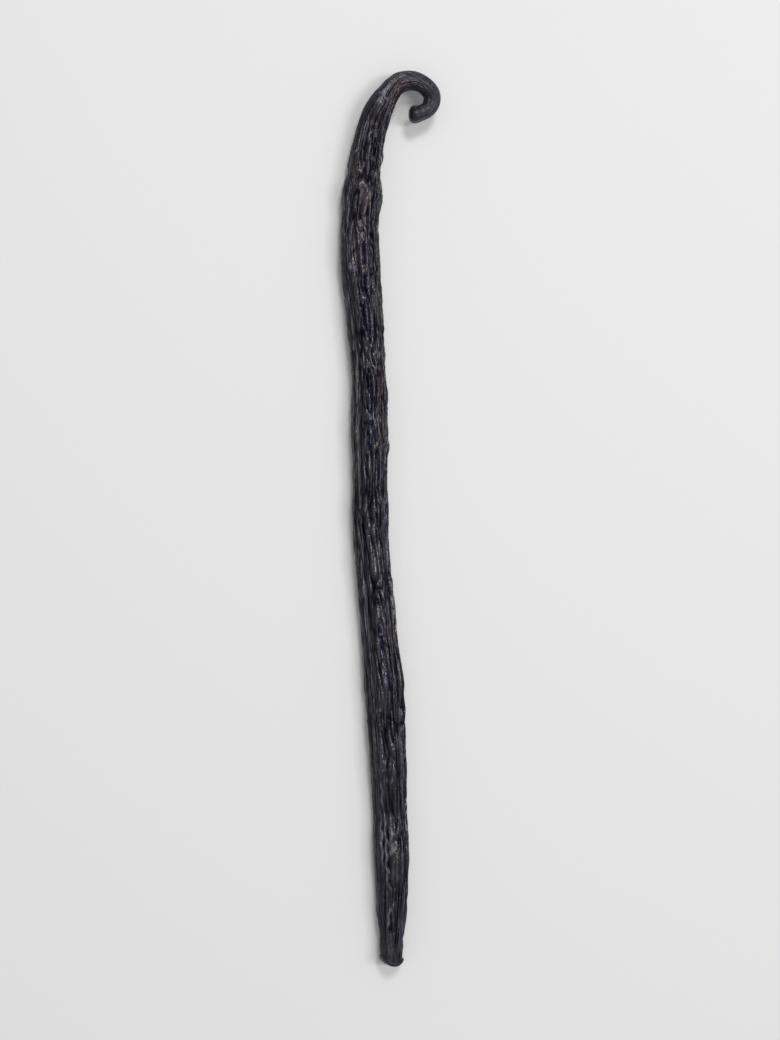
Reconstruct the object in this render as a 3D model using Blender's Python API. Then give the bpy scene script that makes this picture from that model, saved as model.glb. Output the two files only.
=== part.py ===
"""Vanilla pod: one whole cured pod, lying on its flatter side, its stem curled over.

Metres, +Z up. The pod lies along Y, with its blossom end at -Y and its stem at +Y.
The origin is the middle of the pod's bounding box, on the surface that it lies on.
Distances along the pod are counted from the blossom end, along its own curve.
"""

import math

import bmesh
import bpy
from mathutils import Vector

MM = 0.001

# How finely the skin is cut: round the pod, and along its body and its curled stem.
COLUMNS = 24
BODY_STEP = 1.25 * MM
STEM_STEP = 0.7 * MM

# The pod, measured along its own curve.
LENGTH = 179.2 * MM
BODY_START = 2.0 * MM        # where the flared blossom tip gives way to the body
STEM_START = 153.0 * MM      # where the body has narrowed to the stem
STEM_STOP = 178.0 * MM       # where the stem's blunt tip begins to round off

# (distance, width) in mm: blossom neck, swells and waists of the body, stem, knob.
WIDTHS = (
    (0, 4.6), (4, 4.4), (14, 5.9), (21, 6.5), (29, 6.1), (40, 6.6), (52, 7.0), (63, 6.3),
    (79, 6.2), (85, 6.7), (89, 6.3), (100, 6.8), (110, 6.3), (122, 6.9), (131, 7.3),
    (138.5, 7.0), (143, 7.5), (148, 5.9), (157, 5.3), (165, 3.7), (171, 3.2), (176.5, 2.9),
    (178, 3.2),
)

# (distance in mm, height over width): round at both ends, pressed flatter between.
FLATNESS = ((0, 0.92), (10, 0.82), (30, 0.76), (140, 0.74), (155, 0.84), (165, 1.0), (180, 1.0))

# (distance in mm, height of the underside in mm): lies flat, both ends lift off.
LIFT = ((0, 0.7), (14, 0.0), (137, 0.0), (152, 0.5), (166, 2.3), (174, 2.8), (180, 2.6))

# (from, to) in mm and the turn in degrees, to the left when positive.
FIRST_HEADING = 89.0
BENDS = (
    (13, 22, 3.6), (46, 56, 2.9), (70, 86, -5.3), (103, 113, 4.3), (130, 141, -9.3),
    (146, 153, -6.0), (154, 162, -24.0), (163.2, 171.5, -108.0), (171.5, 176.3, -106.0),
    (177.0, 179.2, -20.0),
)

# Long folds in the skin: (from, to) in mm, the angle round the pod at each end in
# degrees (0 is the right edge, 90 the top), and the height in mm, grooves negative.
FOLDS = (
    (18, 70, 118, 132, -0.40), (60, 128, 122, 136, -0.45), (120, 150, 140, 128, -0.35),
    (8, 46, 88, 74, 0.24), (50, 96, 96, 82, 0.22), (92, 140, 100, 84, 0.22),
    (30, 88, 44, 54, -0.32), (84, 134, 52, 40, -0.34), (12, 64, 166, 158, -0.26),
    (70, 124, 158, 168, 0.22), (22, 78, 14, 20, 0.20), (96, 150, 18, 10, -0.24),
    (128, 160, 66, 76, -0.26), (4, 24, 120, 128, -0.24), (146, 170, 108, 96, -0.18),
)
FOLD_HALF_ANGLE = 20.0       # degrees round the pod from a fold's crest to its foot
FOLD_FADE = 6.0 * MM         # a fold fades in and out over this length

SQUARENESS = 0.8             # 1 is an ellipse, less is boxier
LOBES = 0.035                # the pod's three seams, as a share of its radius
UNDERSIDE_CUT = 0.93         # the underside is level below this share of the half height
END_BULGE = 1.2 * MM         # how far the blossom tip's middle stands ahead of its sides
END_LEAN = 0.8 * MM          # how far the top of the blossom tip leans back from its bottom
END_SKEW = 0.4 * MM          # how far the right of the blossom tip stands ahead of its middle
NECK_PINCH = 0.075           # share of the radius lost just behind the blossom tip's rim
NECK_LENGTH = 3.5 * MM

# (distance, share of the radius) in mm: a dished blossom scar inside a rolled, flared rim.
BLOSSOM_RINGS = (
    (0.95, 0.12), (0.95, 0.42), (0.42, 0.69), (0.05, 0.83), (0.05, 0.94), (0.45, 1.0),
    (0.8, 0.94), (1.1, 0.885), (1.6, 0.91),
)
# (distance past STEM_STOP, share of the radius) in mm: a rounded tip.
STEM_RINGS = ((0.4, 0.95), (0.74, 0.8), (0.97, 0.58), (1.08, 0.34), (1.1, 0.14))

TRACE_STEP = 0.1 * MM


def clear_scene():
    """Remove whatever the scene holds."""
    for old in list(bpy.data.objects):
        bpy.data.objects.remove(old, do_unlink=True)


def smooth(share):
    """Ease a share from 0 to 1, level at both ends."""
    share = min(1.0, max(0.0, share))
    return share * share * (3.0 - 2.0 * share)


def along(stations, distance):
    """Read a list of (mm, value) stations at a distance, with eased steps between."""
    place = distance / MM
    if place <= stations[0][0]:
        return stations[0][1]
    for (start, low), (stop, high) in zip(stations, stations[1:]):
        if place <= stop:
            return low + (high - low) * smooth((place - start) / (stop - start))
    return stations[-1][1]


def heading(distance):
    """Direction of the spine at a distance, in radians from +X towards +Y."""
    degrees = FIRST_HEADING
    for start, stop, turn in BENDS:
        degrees += turn * min(1.0, max(0.0, (distance / MM - start) / (stop - start)))
    return math.radians(degrees)


def trace_spine():
    """Points of the spine in plan, one for each TRACE_STEP, by adding up headings."""
    points = [Vector((0.0, 0.0, 0.0))]
    for step in range(round(LENGTH / TRACE_STEP) + 1):
        angle = heading((step + 0.5) * TRACE_STEP)
        points.append(points[-1] + Vector((math.cos(angle), math.sin(angle), 0.0)) * TRACE_STEP)
    return points


def rings():
    """Distance, share of the radius and share of the end's shift of every ring."""
    found = [(place * MM, share, 1.0) for place, share in BLOSSOM_RINGS]
    distance = BODY_START
    while distance < STEM_STOP:
        pinch = NECK_PINCH * max(0.0, 1.0 - (distance - BODY_START) / NECK_LENGTH)
        shift = 1.0 - smooth((distance - BODY_START) / (4.0 * BODY_START))
        found.append((distance, 1.0 - pinch, shift))
        distance += BODY_STEP if distance < STEM_START else STEM_STEP
    found += [(STEM_STOP + place * MM, share, 0.0) for place, share in STEM_RINGS]
    return found


def fold_height(distance, degrees):
    """Height of the skin's folds at one place, in metres."""
    total = 0.0
    for start, stop, first, last, height in FOLDS:
        share = (distance / MM - start) / (stop - start)
        if not 0.0 < share < 1.0:
            continue
        crest = first + (last - first) * share
        off = abs((degrees - crest + 180.0) % 360.0 - 180.0) / FOLD_HALF_ANGLE
        if off < 1.0:
            length = (stop - start) * MM
            fade = smooth(min(share, 1.0 - share) * length / FOLD_FADE)
            total += height * MM * fade * (1.0 - smooth(off))
    return total


def skin_point(distance, share, shift, angle, spine):
    """Place on the skin for one distance and one angle round the pod."""
    cos, sin = math.cos(angle), math.sin(angle)
    half_width = 0.5 * along(WIDTHS, distance)
    half_height = half_width * along(FLATNESS, distance)
    lobe = 1.0 + LOBES * math.cos(3.0 * (angle - math.pi / 2.0))
    side = math.copysign(abs(cos) ** SQUARENESS, cos) * lobe
    rise = math.copysign(abs(sin) ** SQUARENESS, sin) * lobe
    reach = math.hypot(side * half_width, rise * half_height)
    swell = 1.0 + fold_height(distance, math.degrees(angle) % 360.0) / MM / reach
    side *= share * swell
    rise = max(rise * share * swell, -UNDERSIDE_CUT)

    back = END_BULGE * (cos * share) ** 2 + 0.5 * END_LEAN * (1.0 + sin * share)
    ahead = distance + shift * (back - END_SKEW * cos * share)
    step = ahead / TRACE_STEP
    index = min(int(step), len(spine) - 2)
    centre = spine[index].lerp(spine[index + 1], step - index)
    turn = heading(ahead)
    right = Vector((math.sin(turn), -math.cos(turn), 0.0))
    level = (along(LIFT, distance) + half_height * (UNDERSIDE_CUT + rise)) * MM
    return centre + right * (side * half_width * MM) + Vector((0.0, 0.0, level))


def pod_mesh():
    """The whole pod as one closed skin, warped from a straight capped cylinder."""
    places = rings()
    spine = trace_spine()
    bm = bmesh.new()
    bmesh.ops.create_cone(bm, cap_ends=True, segments=COLUMNS, radius1=1.0, radius2=1.0, depth=1.0)
    uprights = [edge for edge in bm.edges if abs(edge.verts[0].co.z - edge.verts[1].co.z) > 0.5]
    bmesh.ops.subdivide_edges(bm, edges=uprights, cuts=len(places) - 2)
    for vert in bm.verts:
        ring = round((0.5 - vert.co.z) * (len(places) - 1))
        vert.co = skin_point(*places[ring], math.atan2(vert.co.y, vert.co.x), spine)

    low = Vector([min(vert.co[axis] for vert in bm.verts) for axis in range(3)])
    high = Vector([max(vert.co[axis] for vert in bm.verts) for axis in range(3)])
    middle = (low + high) / 2.0
    bmesh.ops.translate(bm, verts=bm.verts, vec=(-middle.x, -middle.y, -low.z))

    mesh = bpy.data.meshes.new("pod")
    bm.to_mesh(mesh)
    bm.free()
    mesh.shade_smooth()
    return mesh


def cured_skin():
    """Near-black brown, oily skin."""
    material = bpy.data.materials.new("cured skin")
    material.use_nodes = True
    shader = material.node_tree.nodes["Principled BSDF"]
    shader.inputs["Base Color"].default_value = (0.028, 0.019, 0.016, 1.0)
    shader.inputs["Roughness"].default_value = 0.42
    shader.inputs["Metallic"].default_value = 0.0
    return material


def build():
    """Model the pod in its own collection."""
    clear_scene()
    collection = bpy.data.collections.new("vanilla pod")
    bpy.context.scene.collection.children.link(collection)
    pod = bpy.data.objects.new("pod", pod_mesh())
    pod.data.materials.append(cured_skin())
    collection.objects.link(pod)


build()
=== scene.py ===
"""Looks of one whole cured vanilla pod: wrinkled oily skin, blossom scar and curled stem.

Metres, +Z up. Sizes of the pod are given in millimetres, as distances along its own
curve from the blossom end, and as degrees round it: 0 is its right edge, 90 its top.
"""

import logging
import math
from dataclasses import dataclass
from enum import Enum

import bmesh
import bpy
import numpy as np
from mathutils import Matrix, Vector


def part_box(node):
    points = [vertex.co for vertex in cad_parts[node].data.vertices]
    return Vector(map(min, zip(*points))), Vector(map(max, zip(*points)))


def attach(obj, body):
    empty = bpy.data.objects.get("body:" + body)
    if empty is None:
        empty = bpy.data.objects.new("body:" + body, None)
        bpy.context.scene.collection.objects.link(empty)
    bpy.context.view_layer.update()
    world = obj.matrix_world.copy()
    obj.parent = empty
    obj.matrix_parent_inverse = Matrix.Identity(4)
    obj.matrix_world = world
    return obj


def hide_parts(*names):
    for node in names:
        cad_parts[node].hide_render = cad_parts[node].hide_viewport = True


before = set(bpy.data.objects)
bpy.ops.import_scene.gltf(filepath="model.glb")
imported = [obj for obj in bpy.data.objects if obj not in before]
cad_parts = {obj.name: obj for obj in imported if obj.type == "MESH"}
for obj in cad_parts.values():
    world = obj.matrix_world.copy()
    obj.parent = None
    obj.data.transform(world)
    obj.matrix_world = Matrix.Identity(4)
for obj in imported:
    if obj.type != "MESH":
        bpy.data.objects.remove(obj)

MM = 0.001
ROOT_BODY = "root"
POD_NODE = "pod"

LOG = logging.getLogger("vanilla_pod")


def ease(share: np.ndarray) -> np.ndarray:
    """Ease shares from 0 to 1, level at both ends."""
    share = np.clip(share, 0.0, 1.0)
    return share * share * (3.0 - 2.0 * share)


def power(value: np.ndarray, exponent: float) -> np.ndarray:
    """Raise the size of a value to an exponent and keep its sign."""
    return np.copysign(np.abs(value) ** exponent, value)


def turn_from(middle: float | np.ndarray, degrees: np.ndarray) -> np.ndarray:
    """Degrees round the pod from a middle to each place, between -180 and 180."""
    return (degrees - middle + 180.0) % 360.0 - 180.0


@dataclass(frozen=True)
class Stations:
    """A value that changes along the pod, given at a few distances."""

    points: tuple[tuple[float, float], ...]

    def at(self, distance: np.ndarray) -> np.ndarray:
        """Read the value, with eased steps between the given points.

        Args:
            distance: places along the pod, in millimetres.

        Returns:
            The value at each place.
        """
        value = np.full(np.shape(distance), float(self.points[0][1]))
        for (start, low), (stop, high) in zip(self.points, self.points[1:]):
            value += (high - low) * ease((distance - start) / (stop - start))
        return value


@dataclass(frozen=True)
class Bend:
    """One turn of the spine, to the left when positive."""

    start: float
    stop: float
    degrees: float


@dataclass(frozen=True)
class Spine:
    """The middle line of the pod in plan, traced by adding up its bends."""

    length: float
    first_heading: float
    bends: tuple[Bend, ...]
    step: float = 0.05
    spare: float = 2.0

    def heading(self, distance: np.ndarray) -> np.ndarray:
        """Direction of the spine, in radians from +X towards +Y.

        Args:
            distance: places along the pod, in millimetres.

        Returns:
            The direction at each place.
        """
        degrees = np.full(np.shape(distance), self.first_heading)
        for bend in self.bends:
            share = (distance - bend.start) / (bend.stop - bend.start)
            degrees += bend.degrees * np.clip(share, 0.0, 1.0)
        return np.radians(degrees)

    def place(self, distance: np.ndarray) -> tuple[np.ndarray, np.ndarray]:
        """Where the spine is in plan.

        Args:
            distance: places along the pod, in millimetres.

        Returns:
            The X and the Y of each place, in millimetres from the blossom end.
        """
        steps = np.arange(0.0, self.length + self.spare, self.step)
        turn = self.heading(steps + 0.5 * self.step)
        across = np.concatenate(([0.0], np.cumsum(np.cos(turn)) * self.step))
        ahead = np.concatenate(([0.0], np.cumsum(np.sin(turn)) * self.step))
        marks = np.append(steps, steps[-1] + self.step)
        return np.interp(distance, marks, across), np.interp(distance, marks, ahead)


@dataclass(frozen=True)
class Ripples:
    """Seeded gradient noise over the skin, which closes on itself round the pod."""

    seed: int
    around: int
    pitch: float
    span: float = 240.0
    spare_rows: int = 2
    gain: float = 1.4

    def read(self, distance: np.ndarray, degrees: np.ndarray) -> np.ndarray:
        """Read the noise.

        Args:
            distance: places along the pod, in millimetres.
            degrees: places round the pod.

        Returns:
            Smooth values between about -1 and 1.
        """
        rows = int(self.span / self.pitch) + 2 * self.spare_rows
        lean = np.random.default_rng(self.seed).uniform(0.0, math.tau, (rows, self.around))
        across = degrees / 360.0 * self.around
        along = distance / self.pitch + self.spare_rows
        column, row = np.floor(across).astype(int), np.floor(along).astype(int)
        part, rest = across - column, along - row

        def corner(over: int, up: int) -> np.ndarray:
            """Slope of one corner of the cell that each place is in."""
            turn = lean[(row + up) % rows, (column + over) % self.around]
            return np.cos(turn) * (part - over) + np.sin(turn) * (rest - up)

        fade_across = part ** 3 * (part * (part * 6.0 - 15.0) + 10.0)
        fade_along = rest ** 3 * (rest * (rest * 6.0 - 15.0) + 10.0)
        near = corner(0, 0) + (corner(1, 0) - corner(0, 0)) * fade_across
        far = corner(0, 1) + (corner(1, 1) - corner(0, 1)) * fade_across
        return self.gain * (near + (far - near) * fade_along)


@dataclass(frozen=True)
class Pleats:
    """Rounded folds of skin with narrow creases between them."""

    ripples: Ripples
    height: float
    crease: float
    roundness: float = 0.4
    level: float = 0.38

    def relief(self, distance: np.ndarray, degrees: np.ndarray) -> np.ndarray:
        """Height of the folds, low in the creases, in millimetres."""
        wave = self.ripples.read(distance, degrees)
        return self.height * ((wave * wave + self.crease ** 2) ** self.roundness - self.level)


@dataclass(frozen=True)
class Fold:
    """A long ridge in the skin, or a groove when its height is negative."""

    start: float
    stop: float
    first: float
    last: float
    height: float
    half_angle: float = 20.0
    fade: float = 6.0

    def relief(self, distance: np.ndarray, degrees: np.ndarray) -> np.ndarray:
        """Height of the fold, in millimetres.

        Args:
            distance: places along the pod, in millimetres.
            degrees: places round the pod.

        Returns:
            The fold's height at each place.
        """
        length = self.stop - self.start
        share = np.clip((distance - self.start) / length, 0.0, 1.0)
        crest = self.first + (self.last - self.first) * share
        off = np.abs(turn_from(crest, degrees)) / self.half_angle
        ends = ease(np.minimum(share, 1.0 - share) * length / self.fade)
        return self.height * ends * (1.0 - ease(off))


class Mark(Enum):
    """Kinds of small mark in the skin."""

    CREASE = "narrow crease"
    WELT = "narrow raised line"
    KNOT = "small round lump"
    CURL = "crease that curls round"


@dataclass(frozen=True)
class Blemish:
    """One small mark at its own place, with its size and height in millimetres."""

    kind: Mark
    at: float
    degrees: float
    size: float
    height: float
    slant: float = 0.0
    width: float = 0.22
    wander: float = 0.12
    wander_pace: float = 2.1

    def relief(self, distance: np.ndarray, degrees: np.ndarray, radius: float) -> np.ndarray:
        """Height that the mark adds to the skin.

        Args:
            distance: places along the pod, in millimetres.
            degrees: places round the pod.
            radius: half the pod's width where the mark is, in millimetres.

        Returns:
            The mark's height at each place, in millimetres.
        """
        up = distance - self.at
        over = np.radians(turn_from(self.degrees, degrees)) * radius
        slant = math.radians(self.slant)
        long = up * math.cos(slant) + over * math.sin(slant)
        cross = over * math.cos(slant) - up * math.sin(slant)
        if self.kind is Mark.KNOT:
            return self.height * np.exp(-(long ** 2 + cross ** 2) / self.size ** 2)
        if self.kind is Mark.CURL:
            ring = np.hypot(long, cross) - self.size
            opening = ease(0.5 + (long + 0.5 * self.size) / self.size)
            return self.height * np.exp(-(ring / self.width) ** 2) * opening
        wander = self.wander * np.sin(self.wander_pace * long + self.at)
        ends = ease(1.5 * (1.0 - np.abs(long) / (0.5 * self.size)))
        return self.height * np.exp(-((cross + wander) / self.width) ** 2) * ends


@dataclass(frozen=True)
class Stain:
    """A patch where the skin's colour shifts, with soft edges."""

    at: float
    degrees: float
    length: float
    width: float
    strength: float

    def mask(self, distance: np.ndarray, degrees: np.ndarray) -> np.ndarray:
        """How strongly the stain shows.

        Args:
            distance: places along the pod, in millimetres.
            degrees: places round the pod.

        Returns:
            Share of the stain's colour at each place.
        """
        up = (distance - self.at) / (0.5 * self.length)
        over = turn_from(self.degrees, degrees) / (0.5 * self.width)
        return self.strength * np.exp(-(up ** 2 + over ** 2))


def blemishes() -> tuple[Blemish, ...]:
    """The marks that stand out on the pod, blossom end first.

    Returns:
        Every mark, some placed one by one and some strewn by a seeded draw.
    """
    welts = [
        Blemish(Mark.WELT, 23.0, 128.0, 14.0, 0.24, width=0.34),
        Blemish(Mark.WELT, 21.5, 112.0, 20.0, 0.28, slant=1.0, width=0.34),
        Blemish(Mark.WELT, 23.5, 97.0, 9.0, 0.22, slant=-2.0, width=0.30),
        Blemish(Mark.WELT, 32.5, 120.0, 7.0, 0.24, slant=-3.0, width=0.34),
        Blemish(Mark.WELT, 9.5, 106.0, 8.0, 0.24, slant=-8.0, width=0.30),
        Blemish(Mark.WELT, 134.0, 124.0, 9.0, 0.24, slant=-3.0, width=0.3),
        Blemish(Mark.WELT, 101.0, 74.0, 9.0, 0.14, slant=4.0),
        Blemish(Mark.WELT, 160.5, 101.0, 9.0, 0.18, slant=2.0),
        Blemish(Mark.WELT, 160.0, 80.0, 10.0, 0.18, slant=-2.0),
    ]
    creases = [
        Blemish(Mark.CREASE, 82.9, 78.0, 5.2, -0.15, slant=16.0, width=0.2),
        Blemish(Mark.CREASE, 82.6, 62.0, 4.8, -0.14, slant=-20.0, width=0.2),
        Blemish(Mark.CREASE, 79.2, 69.0, 4.5, -0.14, slant=2.0, width=0.2),
        Blemish(Mark.CREASE, 120.0, 96.0, 6.0, -0.14, slant=8.0),
        Blemish(Mark.CREASE, 57.0, 98.0, 7.0, -0.12, slant=-5.0),
        Blemish(Mark.CREASE, 22.5, 120.0, 16.0, -0.18, slant=0.5),
        Blemish(Mark.CREASE, 22.0, 104.5, 15.0, -0.16, slant=-0.5),
        Blemish(Mark.CREASE, 138.7, 70.0, 3.0, -0.11, slant=62.0),
        Blemish(Mark.CREASE, 89.4, 60.0, 3.0, -0.10, slant=118.0),
        Blemish(Mark.CREASE, 45.2, 70.0, 3.0, -0.10, slant=64.0),
        Blemish(Mark.CREASE, 147.5, 95.0, 3.4, -0.08, slant=64.0),
        Blemish(Mark.CREASE, 104.0, 240.0, 6.0, -0.22, slant=10.0),
        Blemish(Mark.CREASE, 60.0, 300.0, 7.0, -0.22, slant=-12.0),
    ]
    curls = [
        Blemish(Mark.CURL, 151.2, 88.0, 0.95, -0.09, width=0.18),
        Blemish(Mark.CURL, 126.8, 72.0, 1.10, -0.10, width=0.18),
        Blemish(Mark.CURL, 124.6, 79.0, 0.80, -0.08, slant=160.0, width=0.18),
        Blemish(Mark.CURL, 67.0, 84.0, 0.90, -0.05, slant=20.0, width=0.18),
        Blemish(Mark.CURL, 112.0, 250.0, 1.00, -0.18),
    ]
    knots = [
        Blemish(Mark.KNOT, 129.6, 126.0, 0.75, 0.34),
        Blemish(Mark.KNOT, 34.8, 90.0, 0.34, 0.20),
        Blemish(Mark.KNOT, 34.9, 101.0, 0.30, 0.14),
        Blemish(Mark.KNOT, 153.4, 96.0, 0.40, 0.16),
        Blemish(Mark.KNOT, 154.3, 88.0, 0.32, 0.14),
    ]
    draw = np.random.default_rng(41)
    beads = [
        Blemish(Mark.KNOT, place, 112.0 + draw.uniform(-4.0, 4.0), draw.uniform(0.24, 0.4), 0.21)
        for place in np.arange(36.0, 48.0, 0.85)
    ]
    crown = [
        Blemish(Mark.KNOT, 161.5 + draw.normal(0.0, 1.3), 104.0 + draw.normal(0.0, 12.0),
                draw.uniform(0.22, 0.36), 0.20)
        for _ in range(16)
    ]
    strewn = [
        Blemish(Mark.KNOT, draw.uniform(8.0, 158.0), draw.uniform(0.0, 360.0),
                draw.uniform(0.2, 0.34), draw.uniform(0.05, 0.2))
        for _ in range(150)
    ]
    nicks = [
        Blemish(Mark.CREASE, draw.uniform(34.0, 156.0), draw.uniform(0.0, 360.0),
                draw.uniform(0.9, 2.4), -draw.uniform(0.05, 0.11),
                slant=draw.uniform(20.0, 70.0) * draw.choice((-1.0, 1.0)), width=0.17)
        for _ in range(170)
    ]
    return tuple(welts + creases + curls + knots + beads + crown + strewn + nicks)


@dataclass(frozen=True)
class SkinRelief:
    """Everything that stands up or sinks in on the pod's skin."""

    folds: tuple[Fold, ...]
    coarse: Pleats = Pleats(Ripples(11, 11, 26.0), 0.26, 0.02)
    middle: Pleats = Pleats(Ripples(12, 24, 9.0), 0.36, 0.02)
    fine: Pleats = Pleats(Ripples(13, 38, 3.4), 0.44, 0.02)
    cross: Pleats = Pleats(Ripples(14, 22, 1.2), 0.20, 0.04)
    calm_side: float = 150.0
    calm_loss: float = 0.35
    calm_cross_loss: float = 0.9
    sway: Ripples = Ripples(21, 3, 17.0)
    sway_degrees: float = 11.0
    slip: Ripples = Ripples(22, 5, 7.0)
    slip_length: float = 2.0
    mark_margin: float = 2.0
    patches: Ripples = Ripples(23, 4, 9.0)
    strength: Stations = Stations((
        (0, 0.4), (3, 1.0), (9, 1.0), (14, 0.88), (32, 0.88), (38, 1.0), (150, 1.0), (158, 0.8),
        (166, 0.45), (172, 0.34), (178, 0.16),
    ))
    crossing: Stations = Stations(((28, 0.3), (36, 0.7), (48, 0.5), (88, 0.5), (104, 1.0)))

    pace: tuple[tuple[float, float], ...] = ((0, 0), (86, 52), (102, 65), (180, 143))

    def paced(self, distance: np.ndarray) -> np.ndarray:
        """Slow the wrinkles' noise on the lower half, where they run longer."""
        return np.interp(distance, *zip(*self.pace))

    def height(self, distance: np.ndarray, degrees: np.ndarray,
               radius: np.ndarray) -> tuple[np.ndarray, np.ndarray, np.ndarray]:
        """Height of the skin over the plain pod.

        Args:
            distance: places along the pod, in millimetres.
            degrees: places round the pod.
            radius: half the pod's width at each place, in millimetres.

        Returns:
            The height at each place, the part of it that all wrinkles and marks make, and the
            part that raised marks make, in millimetres.
        """
        swayed = degrees + self.sway_degrees * self.sway.read(distance, degrees)
        slipped = self.paced(distance) + self.slip_length * self.slip.read(distance, degrees)
        calm = np.maximum(0.0, np.cos(np.radians(degrees - self.calm_side))) ** 2
        wrinkles = self.middle.relief(slipped, swayed) + self.fine.relief(slipped, swayed)
        wrinkles *= 1.0 - self.calm_loss * calm
        rough = ease(0.6 + 0.9 * self.patches.read(distance, degrees))
        rough *= 1.0 - self.calm_cross_loss * calm
        wrinkles += rough * self.crossing.at(distance) * self.cross.relief(distance, swayed)
        raised = np.zeros(len(distance))
        for mark in blemishes():
            near = np.abs(distance - mark.at) < mark.size + self.mark_margin
            local = mark.relief(distance[near], degrees[near], float(np.mean(radius[near])))
            wrinkles[near] += local
            raised[near] += np.maximum(local, 0.0)
        strength = self.strength.at(distance)
        wrinkles *= strength
        total = wrinkles + strength * self.coarse.relief(slipped, swayed)
        for fold in self.folds:
            total += fold.relief(distance, degrees)
        return total, wrinkles, raised


@dataclass(frozen=True)
class Lamp:
    """An oblong soft lamp that points at the pod, its length along the pod."""

    name: str
    place: tuple[float, float, float]
    width: float
    length: float
    watts: float


class Graph:
    """A material's nodes, added and linked in a few words."""

    def __init__(self, material: bpy.types.Material) -> None:
        """Start from the material's own Principled shader."""
        material.use_nodes = True
        self.tree = material.node_tree
        self.shader = self.tree.nodes["Principled BSDF"]

    def add(self, kind: str, **values: object) -> bpy.types.Node:
        """Add a node.

        Args:
            kind: the node's type name.
            **values: its properties, or the values of its input sockets.

        Returns:
            The new node.
        """
        node = self.tree.nodes.new(kind)
        for name, value in values.items():
            if hasattr(node, name):
                setattr(node, name, value)
            else:
                node.inputs[name.replace("_", " ")].default_value = value
        return node

    def link(self, source: bpy.types.NodeSocket, target: bpy.types.NodeSocket) -> None:
        """Link one socket to another."""
        self.tree.links.new(source, target)

    def scale(self, source: bpy.types.NodeSocket, low: float, high: float,
              out_low: float, out_high: float) -> bpy.types.NodeSocket:
        """Map a value from one range to another, held at both ends.

        Args:
            source: the value's socket.
            low: start of its range.
            high: end of its range.
            out_low: what the start becomes.
            out_high: what the end becomes.

        Returns:
            The socket of the mapped value.
        """
        node = self.tree.nodes.new("ShaderNodeMapRange")
        node.clamp = True
        self.link(source, node.inputs["Value"])
        for name, value in zip(("From Min", "From Max", "To Min", "To Max"),
                               (low, high, out_low, out_high)):
            node.inputs[name].default_value = value
        return node.outputs["Result"]

    def combine(self, kind: str, first: bpy.types.NodeSocket,
                second: bpy.types.NodeSocket) -> bpy.types.NodeSocket:
        """Join two values with one arithmetic operation.

        Args:
            kind: the operation, such as ADD.
            first: the first value's socket.
            second: the second value's socket.

        Returns:
            The socket of the joined value.
        """
        node = self.add("ShaderNodeMath", operation=kind)
        self.link(first, node.inputs[0])
        self.link(second, node.inputs[1])
        return node.outputs[0]

    def blend(self, share: bpy.types.NodeSocket, first: object,
              second: object) -> bpy.types.NodeSocket:
        """Mix two colours.

        Args:
            share: how much of the second colour shows.
            first: a colour, or the socket of one.
            second: a colour, or the socket of one.

        Returns:
            The socket of the mixed colour.
        """
        node = self.tree.nodes.new("ShaderNodeMix")
        node.data_type = "RGBA"
        self.link(share, node.inputs["Factor"])
        for socket, colour in zip(node.inputs[6:8], (first, second)):
            if isinstance(colour, bpy.types.NodeSocket):
                self.link(colour, socket)
            else:
                socket.default_value = (*colour, 1.0)
        return node.outputs[2]


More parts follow.
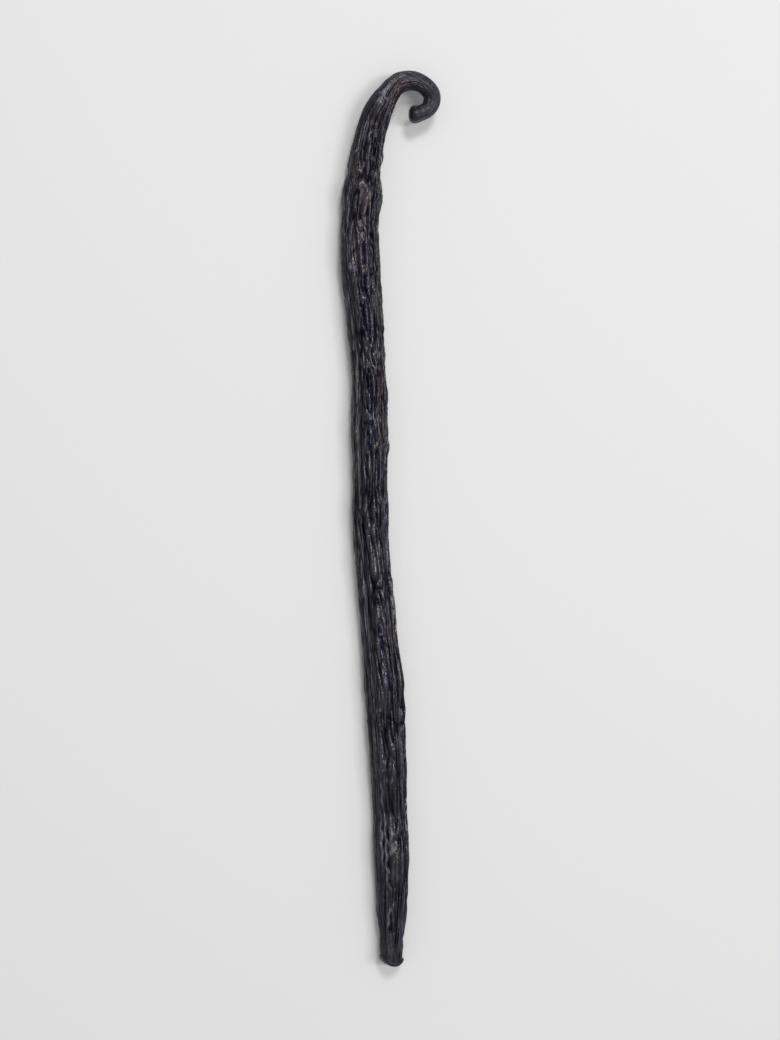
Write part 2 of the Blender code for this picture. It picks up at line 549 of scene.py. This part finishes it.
@dataclass(frozen=True)
class CuredSkin:
    """Near-black, oily, leathery skin, faintly brown on its flats, with a painted highlight on its
    crests, painted glints on its raised marks and painted shade in its creases.
    """

    # The skin's own darkest tone, also painted into the creases as shade.
    black: tuple[float, float, float] = (0.0011, 0.0012, 0.0085)
    umber: tuple[float, float, float] = (0.0125, 0.0060, 0.0135)
    # A bluish grey painted highlight for the tops of the wrinkles.
    crest: tuple[float, float, float] = (0.060, 0.059, 0.112)
    # A pale painted glint for the tops of raised welts and knots.
    painted_glint: tuple[float, float, float] = (0.17, 0.17, 0.21)
    russet: tuple[float, float, float] = (0.050, 0.014, 0.018)
    ink: tuple[float, float, float] = (0.0022, 0.0040, 0.0135)
    roughness: float = 0.19
    end_roughness: float = 0.07
    shine: float = 0.5
    coat: float = 0.35
    end_coat: float = 0.2
    coat_roughness: float = 0.22
    coat_ior: float = 1.35
    crease_metal: float = 0.9
    end_ink: float = 0.6
    grain_depth: float = 0.00007
    pit_depth: float = 0.00008

    def material(self) -> bpy.types.Material:
        """Build the skin's material.

        Returns:
            The material, which reads the piece's own attributes.
        """
        skin = bpy.data.materials.new("cured skin")
        graph = Graph(skin)
        straight = graph.add("ShaderNodeAttribute", attribute_name="straight_mm").outputs["Vector"]
        relief, wrinkle, raised, stain, inked = (
            graph.add("ShaderNodeAttribute", attribute_name=name).outputs["Fac"]
            for name in ("relief", "wrinkle", "raised", "stain", "inked")
        )

        def noise(along: float, scale: float, detail: float) -> bpy.types.NodeSocket:
            """A noise over the straightened pod, drawn out along it.

            Args:
                along: its scale along the pod, as a share of its scale across.
                scale: its scale across the pod, for each millimetre.
                detail: how many finer layers it has.

            Returns:
                The socket of the noise's value.
            """
            mapping = graph.add("ShaderNodeMapping", Scale=(1.0, 1.0, along))
            graph.link(straight, mapping.inputs["Vector"])
            texture = graph.add("ShaderNodeTexNoise", Scale=scale, Detail=detail, Roughness=0.6)
            graph.link(mapping.outputs["Vector"], texture.inputs["Vector"])
            return texture.outputs["Fac"]

        mottle = noise(0.3, 0.55, 3.0)
        fibre = noise(0.14, 3.4, 3.0)
        oil = noise(0.35, 1.1, 2.0)

        colour = graph.blend(graph.scale(mottle, 0.35, 0.68, 0.0, 1.0), self.black, self.umber)
        # Painted highlight: the wrinkle crests are painted bluish grey, broken into dashes by the
        # fibre noise.
        crest = graph.scale(wrinkle, 0.2, 0.9, 0.0, 1.0)
        highlight_breakup = graph.scale(fibre, 0.4, 0.62, 0.1, 1.0)
        colour = graph.blend(graph.combine("MULTIPLY", crest, highlight_breakup), colour, self.crest)
        # Painted glint: the tops of raised marks are painted pale where light would catch them.
        painted_glint = graph.combine("MULTIPLY", graph.scale(raised, 0.5, 0.9, 0.0, 1.0), highlight_breakup)
        colour = graph.blend(painted_glint, colour, self.painted_glint)
        colour = graph.blend(graph.scale(inked, 0.0, 1.0, 0.0, self.end_ink), colour, self.ink)
        reddish = graph.combine("MULTIPLY", stain, graph.scale(mottle, 0.3, 0.6, 0.3, 1.0))
        colour = graph.blend(reddish, colour, self.russet)
        # Painted shade: the creases between the wrinkles are painted black.
        groove = graph.scale(wrinkle, -0.75, -0.1, 1.0, 0.0)
        colour = graph.blend(groove, colour, self.black)
        graph.link(colour, graph.shader.inputs["Base Color"])
        # Painted shade: a metallic share over the black painted into the creases takes the white
        # sheen out of them.
        metal = graph.scale(wrinkle, -0.8, -0.1, self.crease_metal, 0.0)
        graph.link(metal, graph.shader.inputs["Metallic"])

        gloss = graph.scale(fibre, 0.3, 0.7, self.roughness - 0.08, self.roughness + 0.14)
        dull = graph.scale(relief, -1.0, 0.4, 0.18, 0.0)
        dull = graph.combine("ADD", dull, graph.scale(inked, 0.0, 1.0, 0.0, self.end_roughness))
        graph.link(graph.combine("ADD", gloss, dull), graph.shader.inputs["Roughness"])
        oily = graph.combine("MULTIPLY", graph.scale(oil, 0.45, 0.7, 0.0, self.coat),
                             graph.scale(inked, 0.0, 1.0, 1.0, self.end_coat))
        graph.link(oily, graph.shader.inputs["Coat Weight"])
        graph.shader.inputs["Coat Roughness"].default_value = self.coat_roughness
        graph.shader.inputs["Coat IOR"].default_value = self.coat_ior
        graph.shader.inputs["Specular IOR Level"].default_value = self.shine

        grit = noise(0.45, 2.4, 1.0)
        pitted = graph.add("ShaderNodeBump", Strength=1.0, Distance=self.pit_depth)
        graph.link(grit, pitted.inputs["Height"])
        streaked = graph.add("ShaderNodeBump", Strength=1.0, Distance=self.grain_depth)
        graph.link(fibre, streaked.inputs["Height"])
        graph.link(pitted.outputs["Normal"], streaked.inputs["Normal"])
        graph.link(streaked.outputs["Normal"], graph.shader.inputs["Normal"])
        return skin


@dataclass(frozen=True)
class VanillaPod:
    """The whole pod, one closed skin from its blossom scar to its stem's blunt tip."""

    spine: Spine = Spine(179.2, 89.0, (
        Bend(13, 22, 3.6), Bend(46, 56, 2.9), Bend(70, 86, -5.3), Bend(103, 113, 4.3),
        Bend(130, 141, -9.3), Bend(146, 153, -6.0), Bend(154, 162, -24.0),
        Bend(163.2, 171.5, -108.0), Bend(171.5, 176.3, -106.0), Bend(177.0, 179.2, -20.0),
    ))
    width: Stations = Stations((
        (0, 4.6), (4, 4.4), (14, 5.9), (21, 6.5), (29, 6.1), (40, 6.6), (52, 7.0), (63, 6.3),
        (79, 6.2), (85, 6.7), (89, 6.3), (100, 6.8), (110, 6.3), (122, 6.9), (131, 7.3),
        (138.5, 7.0), (143, 7.5), (148, 5.9), (157, 5.3), (165, 3.7), (171, 3.2),
        (176.5, 2.9), (178, 3.2),
    ))
    flatness: Stations = Stations((
        (0, 0.92), (10, 0.82), (30, 0.76), (140, 0.74), (155, 0.84), (165, 1.0), (180, 1.0),
    ))
    lift: Stations = Stations((
        (0, 0.7), (14, 0.0), (137, 0.0), (152, 0.5), (166, 2.3), (174, 2.8), (180, 2.6),
    ))
    folds: tuple[Fold, ...] = (
        Fold(18, 70, 118, 132, -0.40), Fold(60, 128, 122, 136, -0.45),
        Fold(120, 150, 140, 128, -0.35), Fold(8, 46, 88, 74, 0.24), Fold(50, 96, 96, 82, 0.22),
        Fold(92, 140, 100, 84, 0.22), Fold(30, 88, 44, 54, -0.32), Fold(84, 134, 52, 40, -0.34),
        Fold(12, 64, 166, 158, -0.26), Fold(70, 124, 158, 168, 0.22), Fold(22, 78, 14, 20, 0.20),
        Fold(96, 150, 18, 10, -0.24), Fold(128, 160, 66, 76, -0.26), Fold(4, 24, 120, 128, -0.24),
        Fold(146, 170, 108, 96, -0.18),
    )
    stains: tuple[Stain, ...] = (
        Stain(165.5, 60.0, 6.0, 90.0, 0.35), Stain(105.0, 55.0, 16.0, 50.0, 0.45),
        Stain(140.0, 100.0, 14.0, 60.0, 0.35), Stain(160.0, 70.0, 9.0, 60.0, 0.3),
        Stain(62.0, 60.0, 12.0, 40.0, 0.25), Stain(30.0, 240.0, 22.0, 80.0, 0.4),
        Stain(118.0, 280.0, 26.0, 90.0, 0.4),
    )
    inked: Stations = Stations(((1.0, 1.0), (2.6, 0.0), (164, 0.0), (169, 1.0)))
    squareness: Stations = Stations(((0, 0.96), (12, 0.8), (158, 0.8), (168, 0.96)))
    seams: int = 3
    lobes: float = 0.035
    underside_cut: float = 0.93
    end_bulge: float = 1.2
    end_lean: float = 0.8
    end_skew: float = 0.4
    neck_pinch: float = 0.075
    neck_length: float = 3.5
    body_start: float = 2.0
    stem_stop: float = 178.0
    blossom_rings: tuple[tuple[float, float], ...] = (
        (0.95, 0.12), (1.0, 0.24), (0.98, 0.38), (0.86, 0.5), (0.66, 0.6), (0.42, 0.69),
        (0.2, 0.76), (0.05, 0.83), (0.0, 0.89), (0.05, 0.94), (0.16, 0.975), (0.3, 0.995),
        (0.45, 1.0), (0.6, 0.99), (0.72, 0.965), (0.8, 0.93), (0.86, 0.9), (0.94, 0.885),
        (1.08, 0.885), (1.3, 0.895), (1.6, 0.91),
    )
    stem_rings: tuple[tuple[float, float], ...] = (
        (0.2, 0.985), (0.4, 0.95), (0.58, 0.89), (0.74, 0.81), (0.87, 0.71), (0.97, 0.6),
        (1.04, 0.48), (1.08, 0.35), (1.1, 0.23), (1.1, 0.11),
    )
    columns: int = 180
    body_rings: int = 520
    crowding: float = 0.25
    relief_span: float = 0.35
    wrinkle_span: float = 0.2
    raised_span: float = 0.3

    def rings(self) -> tuple[np.ndarray, np.ndarray, np.ndarray]:
        """Where each ring of the skin goes, blossom end first.

        Returns:
            The distance, the share of the pod's radius and the end bulge of every ring.
        """
        blossom, stem = np.array(self.blossom_rings), np.array(self.stem_rings)
        body = np.linspace(self.body_start, self.stem_stop, self.body_rings)
        behind = body - self.body_start
        fading = ease(behind / (4.0 * self.body_start))
        pinch = self.neck_pinch * np.maximum(0.0, 1.0 - behind / self.neck_length)
        distance = np.concatenate((blossom[:, 0], body, self.stem_stop + stem[:, 0]))
        share = np.concatenate((blossom[:, 1], 1.0 - pinch, stem[:, 1]))
        shift = np.concatenate((np.ones(len(blossom)), 1.0 - fading, np.zeros(len(stem))))
        return distance, share, self.end_bulge * shift

    def blank(self, ring_count: int) -> bpy.types.Mesh:
        """A straight capped cylinder with the pod's rings and columns, still unshaped.

        Args:
            ring_count: number of rings along it.

        Returns:
            The mesh, one unit in radius and in length.
        """
        bm = bmesh.new()
        bmesh.ops.create_cone(bm, cap_ends=True, segments=self.columns,
                              radius1=1.0, radius2=1.0, depth=1.0)
        bmesh.ops.poke(bm, faces=[face for face in bm.faces if len(face.verts) > 4])
        uprights = [e for e in bm.edges if abs(e.verts[0].co.z - e.verts[1].co.z) > 0.5]
        bmesh.ops.subdivide_edges(bm, edges=uprights, cuts=ring_count - 2)
        mesh = bpy.data.meshes.new("pod skin")
        bm.to_mesh(mesh)
        bm.free()
        return mesh

    def build(self) -> bpy.types.Object:
        """Shape the pod and centre it on its CAD node.

        Returns:
            The finished piece, dressed and attached to its body.
        """
        ring_distance, ring_share, ring_bulge = self.rings()
        mesh = self.blank(len(ring_distance))
        flat = np.empty(len(mesh.vertices) * 3)
        mesh.vertices.foreach_get("co", flat)
        start = flat.reshape(-1, 3)
        ring = np.rint((0.5 - start[:, 2]) * (len(ring_distance) - 1)).astype(int)
        even = np.arctan2(start[:, 1], start[:, 0])
        angle = even + self.crowding * np.cos(even)
        degrees = np.degrees(angle) % 360.0
        distance = ring_distance[ring]
        share = ring_share[ring] * np.hypot(start[:, 0], start[:, 1])

        cos, sin = np.cos(angle), np.sin(angle)
        half_width = 0.5 * self.width.at(distance)
        half_height = half_width * self.flatness.at(distance)
        lobe = 1.0 + self.lobes * np.cos(self.seams * (angle - math.pi / 2.0))
        square = self.squareness.at(distance)
        side = power(cos, square) * lobe * half_width
        rise = power(sin, square) * lobe * half_height
        out_side = power(cos, 2.0 - square) / half_width
        out_rise = power(sin, 2.0 - square) / half_height
        out = np.hypot(out_side, out_rise)

        skin = SkinRelief(self.folds)
        height, wrinkles, raised = skin.height(distance, degrees, half_width)
        side = (side + height * out_side / out) * share
        rise = (rise + height * out_rise / out) * share

        lean = self.end_lean / self.end_bulge * 0.5 * (1.0 + sin * share)
        skew = self.end_skew / self.end_bulge * cos * share
        ahead = distance + ring_bulge[ring] * ((cos * share) ** 2 + lean - skew)
        turn = self.spine.heading(ahead)
        middle_x, middle_y = self.spine.place(ahead)
        level = self.lift.at(distance) + self.underside_cut * half_height + rise
        placed = np.stack((
            middle_x + np.sin(turn) * side,
            middle_y - np.cos(turn) * side,
            np.maximum(level, 0.0),
        ), axis=1) * MM

        low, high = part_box(POD_NODE)
        middle = (placed.min(axis=0) + placed.max(axis=0)) / 2.0
        placed[:, 0] += (low.x + high.x) / 2.0 - middle[0]
        placed[:, 1] += (low.y + high.y) / 2.0 - middle[1]
        placed[:, 2] += low.z - placed[:, 2].min()
        mesh.vertices.foreach_set("co", placed.ravel())

        straight = np.stack((side, rise, distance), axis=1)
        stain = sum(patch.mask(distance, degrees) for patch in self.stains)
        self.note(mesh, "straight_mm", "FLOAT_VECTOR", "vector", straight)
        self.note(mesh, "relief", "FLOAT", "value", np.clip(height / self.relief_span, -1.0, 1.0))
        # wrinkle also sets where the material paints highlights on crests and shade in creases.
        self.note(mesh, "wrinkle", "FLOAT", "value", np.clip(wrinkles / self.wrinkle_span, -1.0, 1.0))
        # raised also sets where the material paints pale glints.
        self.note(mesh, "raised", "FLOAT", "value", np.clip(raised / self.raised_span, 0.0, 1.0))
        self.note(mesh, "stain", "FLOAT", "value", np.clip(stain, 0.0, 1.0))
        self.note(mesh, "inked", "FLOAT", "value", self.inked.at(distance))
        mesh.shade_smooth()
        mesh.update()
        return self.dress(mesh)

    def dress(self, mesh: bpy.types.Mesh) -> bpy.types.Object:
        """Make the shaped skin a piece with its material.

        Args:
            mesh: the pod's skin, in its place.

        Returns:
            The piece, parented to its body's empty, with the CAD part it replaces hidden.
        """
        piece = bpy.data.objects.new("pod_skin", mesh)
        bpy.context.scene.collection.objects.link(piece)
        piece.data.materials.append(CuredSkin().material())
        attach(piece, ROOT_BODY)
        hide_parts(POD_NODE)
        return piece

    @staticmethod
    def note(mesh: bpy.types.Mesh, name: str, kind: str, field: str, values: np.ndarray) -> None:
        """Store one value or vector on every point of the mesh."""
        layer = mesh.attributes.new(name, kind, "POINT")
        layer.data.foreach_set(field, np.ascontiguousarray(values, dtype=np.float32).ravel())


@dataclass(frozen=True)
class Studio:
    """A plain pale floor, soft white light and a camera that looks down on the pod."""

    floor_half: float = 1.6
    floor_grey: float = 0.80
    floor_roughness: float = 0.7
    floor_gap: float = 0.00003
    zenith: float = 0.50
    horizon: float = 0.24
    backdrop: tuple[float, float] = (0.45, 0.90)
    backdrop_top: float = 0.2
    lamps: tuple[Lamp, ...] = (
        Lamp("top lamp", (0.08, 0.46, 0.76), 0.20, 0.20, 2.6),
        Lamp("right lamp", (0.42, 0.02, 0.80), 0.14, 0.42, 2.3),
        Lamp("near lamp", (-0.11, -0.12, 0.92), 0.06, 0.30, 0.3),
    )
    lens: float = 60.0
    frame_height: float = 0.192
    side_tilt: float = 9.0
    clip_start: float = 0.01

    def build(self) -> None:
        """Set up the floor, the lamps, the world and the camera."""
        low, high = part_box(POD_NODE)
        centre = (low + high) / 2.0
        self.lay_floor(low.z)
        for lamp in self.lamps:
            self.hang(lamp, centre)
        self.light_world()
        self.place_camera(centre)
        bpy.context.scene.view_settings.view_transform = "Standard"

    def lay_floor(self, level: float) -> None:
        """Lay a matt pale floor just under the pod.

        Args:
            level: height of the pod's underside.
        """
        bm = bmesh.new()
        bmesh.ops.create_grid(bm, x_segments=1, y_segments=1, size=self.floor_half)
        bmesh.ops.translate(bm, verts=bm.verts, vec=(0.0, 0.0, level - self.floor_gap))
        mesh = bpy.data.meshes.new("floor")
        bm.to_mesh(mesh)
        bm.free()
        paint = bpy.data.materials.new("pale floor")
        shader = Graph(paint).shader
        shader.inputs["Base Color"].default_value = (*[self.floor_grey] * 3, 1.0)
        shader.inputs["Roughness"].default_value = self.floor_roughness
        mesh.materials.append(paint)
        floor = bpy.data.objects.new("floor", mesh)
        bpy.context.scene.collection.objects.link(floor)

    def hang(self, lamp: Lamp, target: Vector) -> None:
        """Hang one lamp, turned towards the pod.

        Args:
            lamp: the lamp's place, size and power.
            target: what it points at.
        """
        data = bpy.data.lights.new(lamp.name, "AREA")
        data.shape = "RECTANGLE"
        data.size = lamp.width
        data.size_y = lamp.length
        data.energy = lamp.watts
        light = bpy.data.objects.new(lamp.name, data)
        light.location = lamp.place
        light.rotation_euler = (light.location - target).to_track_quat("Z", "Y").to_euler()
        bpy.context.scene.collection.objects.link(light)

    def light_world(self) -> None:
        """Surround the scene with white light, brighter overhead, behind a pale backdrop."""
        world = bpy.data.worlds.new("studio")
        world.use_nodes = True
        nodes, links = world.node_tree.nodes, world.node_tree.links
        direction = nodes.new("ShaderNodeTexCoord")
        split = nodes.new("ShaderNodeSeparateXYZ")
        links.new(direction.outputs["Generated"], split.inputs["Vector"])
        rise = split.outputs["Z"]
        sky = nodes["Background"]
        sky.inputs["Color"].default_value = (1.0, 1.0, 1.0, 1.0)
        overhead = self.ramp(world.node_tree, rise, 1.0, (self.horizon, self.zenith))
        links.new(overhead, sky.inputs["Strength"])
        backdrop = nodes.new("ShaderNodeBackground")
        behind = self.ramp(world.node_tree, rise, self.backdrop_top, self.backdrop)
        links.new(behind, backdrop.inputs["Strength"])
        seen = nodes.new("ShaderNodeLightPath")
        choice = nodes.new("ShaderNodeMixShader")
        links.new(seen.outputs["Is Camera Ray"], choice.inputs["Fac"])
        links.new(sky.outputs["Background"], choice.inputs[1])
        links.new(backdrop.outputs["Background"], choice.inputs[2])
        links.new(choice.outputs["Shader"], nodes["World Output"].inputs["Surface"])
        bpy.context.scene.world = world

    @staticmethod
    def ramp(tree: bpy.types.NodeTree, rise: bpy.types.NodeSocket, top: float,
             strengths: tuple[float, float]) -> bpy.types.NodeSocket:
        """Change smoothly from one strength at the horizon to another above it.

        Args:
            tree: the world's nodes.
            rise: how steeply the sky is looked at, 0 at the horizon and 1 overhead.
            top: the rise at which the second strength is reached.
            strengths: the strength at the horizon and the one at the top.

        Returns:
            The socket of the strength.
        """
        node = tree.nodes.new("ShaderNodeMapRange")
        node.interpolation_type = "SMOOTHSTEP"
        for name, value in (("From Min", 0.0), ("From Max", top),
                            ("To Min", strengths[0]), ("To Max", strengths[1])):
            node.inputs[name].default_value = value
        tree.links.new(rise, node.inputs["Value"])
        return node.outputs["Result"]

    def place_camera(self, centre: Vector) -> None:
        """Look down on the pod, a little from its left, with its stem at the top.

        Args:
            centre: middle of the pod.
        """
        data = bpy.data.cameras.new("camera")
        data.lens = self.lens
        data.clip_start = self.clip_start
        half_angle = math.atan(0.5 * data.sensor_width / data.lens)
        away = 0.5 * self.frame_height / math.tan(half_angle)
        tilt = math.radians(self.side_tilt)
        camera = bpy.data.objects.new("camera", data)
        camera.location = centre + Vector((-math.sin(tilt), 0.0, math.cos(tilt))) * away
        camera.rotation_euler = (0.0, -tilt, 0.0)
        bpy.context.scene.collection.objects.link(camera)
        bpy.context.scene.camera = camera


def main() -> None:
    """Build the pod and its studio, and report what was made."""
    logging.basicConfig(level=logging.INFO, format="%(name)s: %(message)s")
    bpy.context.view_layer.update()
    piece = VanillaPod().build()
    LOG.info("%s: %d faces", piece.name, len(piece.data.polygons))
    Studio().build()


if __name__ == "__main__":
    main()
